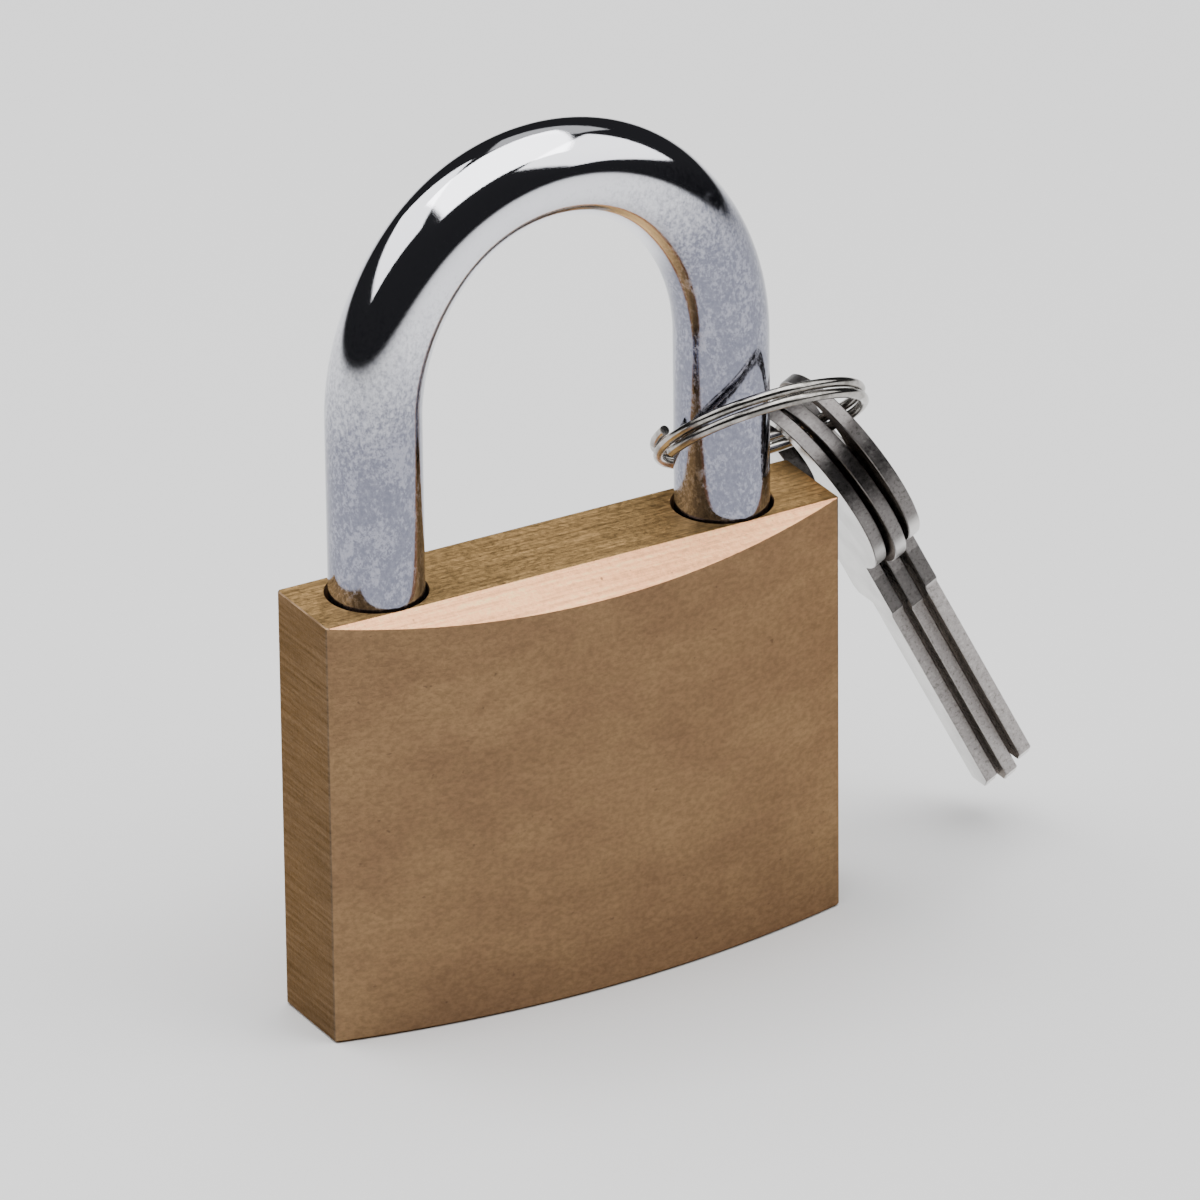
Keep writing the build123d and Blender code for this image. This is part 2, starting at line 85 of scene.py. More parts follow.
class Graph:
    """Adds shader nodes to one material and links them."""

    def __init__(self, name: str) -> None:
        """Start a material with its one shader.

        Args:
            name: The material's name.
        """
        self.material = bpy.data.materials.new(name)
        self.material.use_nodes = True
        self.tree = self.material.node_tree
        self.shader = self.tree.nodes["Principled BSDF"]
        self.coords = self.tree.nodes.new("ShaderNodeTexCoord")

    def set(self, **values: float | Colour) -> None:
        """Set constants on the shader's own sockets, with _ for each space in a socket's name."""
        for name, value in values.items():
            socket = self.shader.inputs[name.replace("_", " ")]
            socket.default_value = (*value, 1.0) if isinstance(value, tuple) else value

    def feed(self, name: str, value: Socket) -> None:
        """Link a socket of the shader."""
        self.tree.links.new(value, self.shader.inputs[name])

    def _plug(self, value: Socket | float | tuple, target: Socket) -> None:
        """Link a socket, or set a plain value on it."""
        if isinstance(value, Socket):
            self.tree.links.new(value, target)
        elif isinstance(value, tuple) and target.type == "RGBA":
            target.default_value = (*value[:3], 1.0)
        else:
            target.default_value = value

    def place(self, scale: Triple, turn: Triple = (0.0, 0.0, 0.0), shift: Triple = (0.0, 0.0, 0.0)) -> Socket:
        """Object coordinates turned, moved and stretched.

        Args:
            scale: Repeats per metre along each axis.
            turn: Turn about each axis in degrees.
            shift: Shift along each axis in metres, before the stretch.

        Returns:
            The vector socket.
        """
        turned = self.tree.nodes.new("ShaderNodeMapping")
        turned.inputs["Location"].default_value = shift
        turned.inputs["Rotation"].default_value = [math.radians(angle) for angle in turn]
        self.tree.links.new(self.coords.outputs["Object"], turned.inputs["Vector"])
        stretched = self.tree.nodes.new("ShaderNodeMapping")
        stretched.inputs["Scale"].default_value = scale
        self.tree.links.new(turned.outputs["Vector"], stretched.inputs["Vector"])
        return stretched.outputs["Vector"]

    def noise(
        self, vector: Socket, detail: float = 4.0, roughness: float = 0.55, distortion: float = 0.0
    ) -> Socket:
        """Fractal noise of unit scale on a vector.

        Args:
            vector: Where the noise is read.
            detail: Octaves.
            roughness: Weight of the finer octaves.
            distortion: How much the noise is warped.

        Returns:
            The value socket, centred near one half.
        """
        node = self.tree.nodes.new("ShaderNodeTexNoise")
        node.inputs["Scale"].default_value = 1.0
        node.inputs["Detail"].default_value = detail
        node.inputs["Roughness"].default_value = roughness
        node.inputs["Distortion"].default_value = distortion
        self.tree.links.new(vector, node.inputs["Vector"])
        return node.outputs["Fac"]

    def spread(self, value: Socket, low: float, high: float, start: float = 0.0, end: float = 1.0) -> Socket:
        """Map a value from one range to another with soft ends.

        Args:
            value: The value to map.
            low: Where the output is start.
            high: Where the output is end.
            start: Output at low.
            end: Output at high.

        Returns:
            The mapped value, kept between start and end.
        """
        node = self.tree.nodes.new("ShaderNodeMapRange")
        node.interpolation_type = "SMOOTHSTEP"
        node.inputs["From Min"].default_value = low
        node.inputs["From Max"].default_value = high
        node.inputs["To Min"].default_value = start
        node.inputs["To Max"].default_value = end
        self.tree.links.new(value, node.inputs["Value"])
        return node.outputs["Result"]

    def maths(self, operation: str, first: Socket | float, second: Socket | float = 0.0) -> Socket:
        """One step of arithmetic on one or two values."""
        node = self.tree.nodes.new("ShaderNodeMath")
        node.operation = operation
        self._plug(first, node.inputs[0])
        self._plug(second, node.inputs[1])
        return node.outputs[0]

    def facing(self, direction: Triple) -> Socket:
        """Cosine between the surface's own normal and a direction."""
        node = self.tree.nodes.new("ShaderNodeVectorMath")
        node.operation = "DOT_PRODUCT"
        self.tree.links.new(self.coords.outputs["Normal"], node.inputs[0])
        node.inputs[1].default_value = Vector(direction).normalized()
        return node.outputs["Value"]

    def along(self, direction: Triple) -> Socket:
        """Place of a point along a direction, in metres."""
        node = self.tree.nodes.new("ShaderNodeVectorMath")
        node.operation = "DOT_PRODUCT"
        self.tree.links.new(self.coords.outputs["Object"], node.inputs[0])
        node.inputs[1].default_value = direction
        return node.outputs["Value"]

    def blend(self, factor: Socket | float, first: Socket | Colour, second: Socket | Colour) -> Socket:
        """Mix two colours by a factor."""
        node = self.tree.nodes.new("ShaderNodeMix")
        node.data_type = "RGBA"
        self._plug(factor, node.inputs[0])
        self._plug(first, node.inputs[COLOUR_A])
        self._plug(second, node.inputs[COLOUR_B])
        return node.outputs[COLOUR_OUT]

    def choose(self, factor: Socket, first: Socket | float, second: Socket | float) -> Socket:
        """Mix two values by a factor."""
        node = self.tree.nodes.new("ShaderNodeMix")
        node.data_type = "FLOAT"
        self._plug(factor, node.inputs[0])
        self._plug(first, node.inputs[VALUE_A])
        self._plug(second, node.inputs[VALUE_B])
        return node.outputs[VALUE_OUT]

    def shade(self, colour: Socket, by: Socket) -> Socket:
        """Multiply a colour by a value."""
        node = self.tree.nodes.new("ShaderNodeMix")
        node.data_type = "RGBA"
        node.blend_type = "MULTIPLY"
        node.inputs[0].default_value = 1.0
        self.tree.links.new(colour, node.inputs[COLOUR_A])
        self.tree.links.new(by, node.inputs[COLOUR_B])
        return node.outputs[COLOUR_OUT]

    def bump(
        self, height: Socket, depth: float, below: Socket | None = None, strength: float = 1.0
    ) -> Socket:
        """Turn a height into a normal.

        Args:
            height: Height from 0 to 1.
            depth: What a height of 1 stands for, in metres.
            below: A coarser bump that this one lies on.
            strength: How strongly the normal is turned.

        Returns:
            The normal socket.
        """
        node = self.tree.nodes.new("ShaderNodeBump")
        node.inputs["Distance"].default_value = depth
        node.inputs["Strength"].default_value = strength
        self.tree.links.new(height, node.inputs["Height"])
        if below is not None:
            self.tree.links.new(below, node.inputs["Normal"])
        return node.outputs["Normal"]


@dataclass(frozen=True)
class BrushedBrass:
    """Satin brass, browned by handling, with bright milled chamfers; the top is painted lighter and the
    narrow sides darker, as painted light and painted shade.
    """

    clean: Colour = (0.250, 0.157, 0.082)
    browned: Colour = (0.212, 0.128, 0.071)
    # narrow: painted shade, the narrow sides coloured darker than the broad faces
    narrow: Colour = (0.136, 0.094, 0.060)
    # top: painted light, the top coloured about twice as bright as the broad faces
    top: Colour = (0.50, 0.322, 0.142)
    bruised: Colour = (0.085, 0.052, 0.034)
    milled: Colour = (1.0, 0.50, 0.25)
    grazing: Colour = (0.80, 0.58, 0.40)
    roughness: float = 0.46
    grain_depth: float = 0.00009
    brush_depth: float = 0.00007

    def make(self) -> bpy.types.Material:
        """Make the material: brushed along X on top and Y on the narrow sides, grained on the broad faces."""
        g = Graph("brushed_brass")
        g.set(Metallic=1.0, Specular_Tint=self.grazing)
        narrow = g.spread(g.maths("ABSOLUTE", g.facing((1.0, 0.0, 0.0))), 0.75, 0.9)
        upward = g.facing((0.0, 0.0, 1.0))
        level = g.spread(upward, 0.90, 0.96)
        milled = g.maths("SUBTRACT", g.spread(upward, 0.55, 0.70), level)
        grain = g.noise(g.place((1500.0, 1900.0, 2300.0)), detail=4.0, roughness=0.62)
        long_brush = g.noise(g.place((60.0, 2600.0, 2600.0)), detail=5.0, roughness=0.70)
        cross_brush = g.noise(g.place((2300.0, 70.0, 2300.0)), detail=5.0, roughness=0.70)
        brush = g.choose(narrow, long_brush, cross_brush)
        brushed = g.maths("MAXIMUM", narrow, g.spread(upward, 0.55, 0.96))
        streak = g.noise(g.place((24.0, 300.0, 460.0), shift=(0.004, 0.0, 0.0)), detail=6.0, roughness=0.65)
        cloud = g.noise(g.place((46.0, 50.0, 60.0), shift=(0.013, 0.0, 0.021)), detail=9.0, roughness=0.72)
        speck = g.noise(g.place((900.0, 900.0, 1300.0)), detail=2.0, roughness=0.5)
        colour = g.blend(g.spread(cloud, 0.34, 0.66), self.browned, self.clean)
        # painted shade: the narrow sides take their darker colour
        colour = g.blend(narrow, colour, self.narrow)
        # painted light: the top takes its lighter colour
        colour = g.blend(level, colour, self.top)
        colour = g.blend(milled, colour, self.milled)
        colour = g.blend(g.spread(speck, 0.71, 0.77, 0.0, 0.6), colour, self.bruised)
        colour = g.shade(colour, g.spread(streak, 0.3, 0.7, 0.95, 1.04))
        colour = g.shade(colour, g.spread(grain, 0.3, 0.7, 0.80, 1.19))
        lines = g.spread(brush, 0.3, 0.7, 0.66, 1.34)
        colour = g.shade(colour, g.choose(brushed, 1.0, lines))
        g.feed("Base Color", colour)
        wear = g.spread(cloud, 0.35, 0.65, self.roughness + 0.04, self.roughness - 0.03)
        g.feed("Roughness", g.maths("ADD", g.spread(grain, 0.3, 0.7, -0.04, 0.05), wear))
        fine = g.bump(long_brush, self.brush_depth, strength=0.25)
        g.feed("Normal", g.bump(grain, self.grain_depth, below=fine, strength=0.8))
        return g.material


@dataclass(frozen=True)
class WornBrass:
    """Brass rubbed bright along the edges."""

    bright: Colour = (0.40, 0.26, 0.155)
    dull: Colour = (0.22, 0.14, 0.08)

    def make(self) -> bpy.types.Material:
        """Make the material: bright with short dull stretches."""
        g = Graph("worn_brass_edge")
        g.set(Metallic=1.0)
        wear = g.noise(g.place((260.0, 260.0, 260.0)), detail=6.0, roughness=0.65)
        g.feed("Base Color", g.blend(g.spread(wear, 0.4, 0.62), self.dull, self.bright))
        g.feed("Roughness", g.spread(wear, 0.4, 0.62, 0.42, 0.28))
        return g.material


@dataclass(frozen=True)
class CloudedShadedChrome:
    """Bright plating over a polished bar, clouded and grainy on the upright faces of the legs, where a
    darker, bluer base colour is also painted shade for the darker surroundings that they reflect.
    """

    clear: Colour = (0.86, 0.865, 0.91)
    # veil: partly clouded plating, partly painted shade that darkens and blues the legs
    veil_and_shade: Colour = (0.180, 0.186, 0.240)
    frost: Colour = (0.40, 0.405, 0.475)
    veil_shade_top: float = 0.079
    veil_shade_slant: float = 0.36
    veil_shade_fade: float = 0.009
    veil_shade_ragged: float = 0.005
    clear_roughness: float = 0.05
    frost_roughness: float = 0.265
    ripple_depth: float = 0.000010
    grit_depth: float = 0.000006

    def make(self) -> bpy.types.Material:
        """Make the material: mirror plating, a grainy veil that is partly painted shade, and frosted wisps.
        """
        g = Graph("clouded_shaded_chrome")
        g.set(Metallic=1.0)
        grit = g.noise(g.place((2400.0, 2400.0, 1800.0)), detail=6.0, roughness=0.75)
        where = g.place((420.0, 420.0, 230.0), shift=(0.02, 0.0, 0.004))
        patch = g.noise(where, detail=8.0, roughness=0.7, distortion=0.7)
        mixed = g.maths("ADD", g.maths("MULTIPLY", patch, 0.5), g.maths("MULTIPLY", grit, 0.5))
        upright = g.spread(g.maths("ABSOLUTE", g.facing((0.0, 0.0, 1.0))), 0.70, 0.35)
        ragged = g.spread(grit, 0.3, 0.7, -self.veil_shade_ragged, self.veil_shade_ragged)
        height = g.maths("ADD", g.along((-self.veil_shade_slant, 0.0, 1.0)), ragged)
        low = g.spread(height, self.veil_shade_top + self.veil_shade_fade, self.veil_shade_top - self.veil_shade_fade, 0.10, 1.0)
        edge = g.maths("ADD", g.facing((0.2, -0.98, 0.0)), g.spread(grit, 0.3, 0.7, -0.12, 0.12))
        # painted shade and clouding: all but the back of the legs' upright faces, below a slanted height
        veiled_and_shaded = g.maths("MULTIPLY", g.spread(edge, -0.95, -0.6), g.maths("MULTIPLY", upright, low))
        wisps = g.maths("MULTIPLY", g.spread(mixed, 0.49, 0.58), veiled_and_shaded)
        grain = g.maths("MULTIPLY", g.spread(grit, 0.36, 0.64), veiled_and_shaded)
        # painted shade: the veiled faces take the darker, bluer colour
        colour = g.blend(veiled_and_shaded, self.clear, self.veil_and_shade)
        colour = g.blend(g.maths("MULTIPLY", grain, 0.30), colour, self.frost)
        colour = g.blend(g.maths("MULTIPLY", wisps, 0.75), colour, self.frost)
        g.feed("Base Color", colour)
        dull = g.maths("MAXIMUM", wisps, g.maths("MULTIPLY", grain, 0.5))
        g.feed("Roughness", g.spread(dull, 0.0, 1.0, self.clear_roughness, self.frost_roughness))
        waves = g.noise(g.place((420.0, 420.0, 160.0)), detail=2.0)
        ripple = g.bump(waves, self.ripple_depth, strength=0.35)
        g.feed("Normal", g.bump(grit, self.grit_depth, below=ripple, strength=0.6))
        return g.material


@dataclass(frozen=True)
class NickelWire:
    """Drawn wire with a bright nickel plate, a little dull in places."""

    bright: Colour = (0.42, 0.40, 0.375)
    dull: Colour = (0.21, 0.198, 0.182)
    draw_depth: float = 0.000006

    def make(self) -> bpy.types.Material:
        """Make the material: bright wire with dull stretches."""
        g = Graph("nickel_wire")
        g.set(Metallic=1.0)
        wear = g.noise(g.place((420.0, 420.0, 420.0)), detail=6.0, roughness=0.7)
        g.feed("Base Color", g.blend(g.spread(wear, 0.36, 0.6), self.dull, self.bright))
        g.feed("Roughness", g.spread(wear, 0.36, 0.62, 0.265, 0.13))
        drawn = g.noise(g.place((2600.0, 2600.0, 2600.0)), detail=3.0)
        g.feed("Normal", g.bump(drawn, self.draw_depth, strength=0.6))
        return g.material


@dataclass(frozen=True)
class KeyMarks:
    """Places on one key that its finish follows, in metres.

    Attributes:
        first: The stack's outer flat on the body's side, square to the keys.
        last: The stack's outer flat on the far side.
        foot: Where the shoulder ends and the blade starts, along the key.
    """

    first: float
    last: float
    foot: float


@dataclass(frozen=True)
class NickelKey:
    """Nickel plate over blanked brass: smooth flats with painted shade on those between the keys, and grainy
    edges with a painted highlight on those that face the blade's tip.
    """

    flat: Colour = (0.62, 0.61, 0.59)
    # painted shade on the flats between the keys
    between_shade: Colour = (0.15, 0.130, 0.118)
    edge: Colour = (0.360, 0.336, 0.327)
    spark: Colour = (0.60, 0.57, 0.55)
    grime: Colour = (0.070, 0.060, 0.053)
    # painted highlight on edges that face the blade's tip
    tipward_highlight: Colour = (0.80, 0.78, 0.76)
    open_tint: Colour = (1.0, 1.0, 1.0)
    # painted shade: a darker grazing tint on the flats between the keys
    between_shade_tint: Colour = (0.60, 0.57, 0.54)
    lean: float = 27.493
    rub: float = 0.0002
    shoulder: float = 0.0056
    shoulder_fade: float = 0.0004
    shoulder_shade: float = 0.29
    bow_shade: float = 0.46
    slope: float = 0.0009
    slope_fade: float = 0.8
    grit_depth: float = 0.000045
    shear_depth: float = 0.000025

    def square(self) -> Triple:
        """Direction square to the keys' flats."""
        lean = math.radians(self.lean)
        return math.cos(lean), 0.0, math.sin(lean)

    def length(self) -> Triple:
        """Direction from the bow to the blade's tip."""
        lean = math.radians(self.lean)
        return math.sin(lean), 0.0, -math.cos(lean)

    def make(self, name: str, marks: KeyMarks) -> bpy.types.Material:
        """Make the material, with painted shade on the shoulder, none on the cut below it, and a painted
        highlight on edges facing the tip.

        Args:
            name: The material's name.
            marks: Places on the key.

        Returns:
            The material.
        """
        g = Graph(name)
        g.set(Metallic=1.0)
        side = g.spread(g.maths("ABSOLUTE", g.facing(self.square())), 0.97, 0.90)
        turn = (0.0, self.lean, 0.0)
        shear = g.noise(g.place((900.0, 3200.0, 3200.0), turn=turn), detail=4.0, roughness=0.7)
        grit = g.noise(g.place((2700.0, 2700.0, 2700.0)), detail=5.0, roughness=0.75)
        soft = g.noise(g.place((180.0, 180.0, 180.0)), detail=5.0, roughness=0.6)
        out = g.along(self.square())
        nearer = g.spread(out, marks.first, marks.first + self.rub)
        between = g.maths("MULTIPLY", nearer, g.spread(out, marks.last, marks.last - self.rub))
        # painted shade: flats between the stack's two outer flats take the dark colour
        flat = g.shade(g.blend(between, self.flat, self.between_shade), g.spread(soft, 0.3, 0.7, 0.85, 1.1))
        edge = g.blend(g.spread(grit, 0.53, 0.66, 0.0, 0.6), self.edge, self.spark)
        edge = g.blend(g.spread(grit, 0.47, 0.36, 0.0, 0.6), edge, self.grime)
        edge = g.blend(g.spread(shear, 0.54, 0.70, 0.0, 0.4), edge, self.grime)
        down = g.along(self.length())
        neck = marks.foot - self.shoulder
        below = g.spread(down, neck - self.shoulder_fade, neck)
        above = g.spread(down, marks.foot - self.slope * self.slope_fade, marks.foot - self.slope)
        edge = g.shade(edge, g.spread(g.maths("MULTIPLY", below, above), 0.0, 1.0, 1.0, self.shoulder_shade))
        edge = g.shade(edge, g.spread(below, 0.0, 1.0, self.bow_shade, 1.0))
        # painted highlight: edges facing the blade's tip are lightened towards this bright colour
        edge = g.blend(g.spread(g.facing(self.length()), 0.3, 0.55, 0.0, 0.8), edge, self.tipward_highlight)
        g.feed("Base Color", g.blend(side, flat, edge))
        # painted shade: the hollow between the keys gets the darker grazing tint
        shaded_between = g.maths("MULTIPLY", between, g.maths("SUBTRACT", 1.0, side))
        g.feed("Specular Tint", g.blend(shaded_between, self.open_tint, self.between_shade_tint))
        smooth, grainy = g.spread(soft, 0.35, 0.65, 0.26, 0.20), g.spread(grit, 0.4, 0.65, 0.29, 0.42)
        g.feed("Roughness", g.choose(side, smooth, grainy))
        coarse = g.bump(g.maths("MULTIPLY", grit, side), self.grit_depth, strength=0.6)
        torn = g.maths("MULTIPLY", shear, side)
        g.feed("Normal", g.bump(torn, self.shear_depth, below=coarse, strength=0.5))
        return g.material


@dataclass(frozen=True)
class Turned:
    """Metal with the rings a lathe tool leaves about an axis along Z."""

    name: str
    colour: Colour
    dark: Colour
    roughness: float = 0.3
    ring_scale: float = 900.0
    ring_depth: float = 0.000008

    def make(self) -> bpy.types.Material:
        """Make the material: fine rings and a little tarnish."""
        g = Graph(self.name)
        g.set(Metallic=1.0)
        rings = g.tree.nodes.new("ShaderNodeTexWave")
        rings.wave_type = "RINGS"
        rings.rings_direction = "Z"
        rings.inputs["Scale"].default_value = self.ring_scale
        rings.inputs["Distortion"].default_value = 2.0
        rings.inputs["Detail"].default_value = 3.0
        g.tree.links.new(g.coords.outputs["Object"], rings.inputs["Vector"])
        tarnish = g.noise(g.place((300.0, 300.0, 300.0)), detail=5.0)
        g.feed("Base Color", g.blend(g.spread(tarnish, 0.4, 0.66), self.colour, self.dark))
        g.feed("Roughness", g.spread(tarnish, 0.35, 0.65, self.roughness - 0.06, self.roughness + 0.12))
        g.feed("Normal", g.bump(rings.outputs["Fac"], self.ring_depth, strength=0.5))
        return g.material


@dataclass(frozen=True)
class PaleFloor:
    """Smooth pale studio floor."""

    colour: Colour = (0.88, 0.88, 0.88)
    shade: Colour = (0.86, 0.86, 0.86)
    roughness: float = 0.7

    def make(self) -> bpy.types.Material:
        """Make the material: matt, with a slow drift between two greys."""
        g = Graph("pale_floor")
        g.set(Roughness=self.roughness)
        drift = g.noise(g.place((6.0, 6.0, 6.0)), detail=3.0)
        g.feed("Base Color", g.blend(drift, self.colour, self.shade))
        return g.material


def put(mesh: bpy.types.Mesh, name: str) -> bpy.types.Object:
    """Link a mesh to the scene as an object at the origin."""
    piece = bpy.data.objects.new(name, mesh)
    bpy.context.scene.collection.objects.link(piece)
    return piece


def skin(name: str, grid: np.ndarray, sharp: float = 30.0) -> bpy.types.Object:
    """Make a closed tube from a grid of points.

    Rows of the grid go round the tube and each row joins up with itself. The first and last rows are
    closed with fans about their middle points.

    Args:
        name: The piece's name.
        grid: Points as an array of rows, columns and three coordinates.
        sharp: Edges that turn by more than this many degrees stay sharp.

    Returns:
        The piece.
    """
    rows, columns, _ = grid.shape
    index = np.arange(rows * columns).reshape(rows, columns)
    ahead = np.roll(index, -1, axis=1)
    quads = np.stack([index[:-1], ahead[:-1], ahead[1:], index[1:]], axis=-1).reshape(-1, 4)
    first, last = rows * columns, rows * columns + 1
    foot = np.stack([ahead[0], index[0], np.full(columns, first)], axis=-1)
    head = np.stack([index[-1], ahead[-1], np.full(columns, last)], axis=-1)
    points = np.concatenate([grid.reshape(-1, 3), grid[[0, -1]].mean(axis=1)])
    mesh = bpy.data.meshes.new(name)
    mesh.from_pydata(points.tolist(), [], quads.tolist() + foot.tolist() + head.tolist())
    mesh.update()
    mesh.shade_smooth()
    mesh.set_sharp_from_angle(angle=math.radians(sharp))
    return put(mesh, name)


def tube(path: np.ndarray, out: np.ndarray, across: np.ndarray, radius: np.ndarray, sides: int) -> np.ndarray:
    """Carry a circle along a path: point = path + radius (cos t out + sin t across).

    Args:
        path: Centre of each circle.
        out: Unit vector of each circle where t is zero.
        across: Unit vector of each circle where t is a quarter turn.
        radius: Radius of each circle.
        sides: Points to a circle.

    Returns:
        The grid of points.
    """
    turn = np.linspace(0.0, 2.0 * np.pi, sides, endpoint=False)[None, :, None]
    reach = radius[:, None, None]
    return path[:, None, :] + reach * (np.cos(turn) * out[:, None, :] + np.sin(turn) * across[:, None, :])


def eased_copy(node: str, name: str, width: float, strip: int = -1, least: float = 30.0) -> bpy.types.Object:
    """Copy a CAD node, join its loose triangles and bevel its outer edges.

    A cut square to Y through the middle first parts each face with holes, so that no face closes round one.

    Args:
        node: The CAD node, which the copy stands for.
        name: The piece's name.
        width: How far the bevel reaches into each face.
        strip: Material slot of the bevels, or -1 for that of the faces beside them.
        least: Edges that turn by more than this many degrees are bevelled.

    Returns:
        The piece, without its materials.
    """
    shape = bmesh.new()
    shape.from_mesh(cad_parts[node].data)
    bmesh.ops.remove_doubles(shape, verts=shape.verts, dist=JOIN)
    middle = (0.0, np.mean([corner[1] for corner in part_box(node)]), 0.0)
    every = [*shape.verts, *shape.edges, *shape.faces]
    cut = bmesh.ops.bisect_plane(shape, geom=every, dist=JOIN, plane_co=middle, plane_no=(0.0, 1.0, 0.0))
    for part in cut["geom_cut"]:
        if isinstance(part, bmesh.types.BMEdge):
            part.seam = True
    bmesh.ops.dissolve_limit(
        shape, angle_limit=math.radians(FLAT_TURN), verts=shape.verts, edges=shape.edges, delimit={"SEAM"}
    )
    turn = math.radians(least)
    outer = [e for e in shape.edges if len(e.link_faces) == 2 and e.is_convex and e.calc_face_angle() > turn]
    bmesh.ops.bevel(
        shape, geom=outer, offset=width, offset_type="OFFSET", segments=1, profile=0.5, affect="EDGES",
        clamp_overlap=False, material=strip,
    )
    mesh = bpy.data.meshes.new(name)
    shape.to_mesh(mesh)
    shape.free()
    mesh.shade_smooth()
    mesh.set_sharp_from_angle(angle=math.radians(CREASE))
    corners = np.empty(len(mesh.polygons), dtype=np.int32)
    mesh.polygons.foreach_get("loop_total", corners)
    mesh.polygons.foreach_set("use_smooth", corners <= PLAIN_CORNERS)
    mesh.update()
    return put(mesh, name)


def finish_piece(
    piece: bpy.types.Object, body: str, slot: Slot, nodes: list[str], *materials: bpy.types.Material
) -> None:
    """Dress a piece, tie it to its body and hide the nodes that it stands for.

    Args:
        piece: The piece.
        body: The body that it moves with.
        slot: The record's slot for its finish; not used.
        nodes: CAD nodes that it stands for.
        materials: Its materials, in the order of the mesh's slots.
    """
    for material in materials:
        piece.data.materials.append(material)
    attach(piece, body)
    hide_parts(*nodes)
    log.info("%s rides on %s", piece.name, body)


@dataclass
class BodyBlock:
    """Drilled brass block with its pressed-in plugs and cross pins.

    Attributes:
        edge: How far the bevels reach into each face.
        chamfer_turn: Degrees, more than the turn at the edges of the chamfers, which stay crisp.
        brass: Finish of the block.
        worn: Finish of its rubbed edges.
    """

    edge: float = 0.00012
    chamfer_turn: float = 60.0
    brass: BrushedBrass = field(default_factory=BrushedBrass)
    worn: WornBrass = field(default_factory=WornBrass)

    def build(self) -> None:
        """Build and dress the block and what is pressed into it."""
        worn = self.worn.make()
        block = eased_copy("body", "body_block", self.edge, strip=1, least=self.chamfer_turn)
        finish_piece(block, "body", Slot.BODY, ["body"], self.brass.make(), worn)
        plug_end = Turned("turned_brass_ends", (0.38, 0.24, 0.12), (0.24, 0.145, 0.075), 0.34).make()
        for node in ("bolt_bore_plug", "chamber_plugs"):
            piece = eased_copy(node, f"{node}_ends", self.edge)
            finish_piece(piece, "body", Slot.PLUGS, [node], plug_end)
        steel = Turned("ground_steel", (0.46, 0.46, 0.47), (0.26, 0.25, 0.24), 0.3).make()
        for node in ("heel_pin", "plug_retaining_pin"):
            piece = eased_copy(node, f"{node}_round", self.edge)
            finish_piece(piece, "body", Slot.CROSS_PIN, [node], steel)


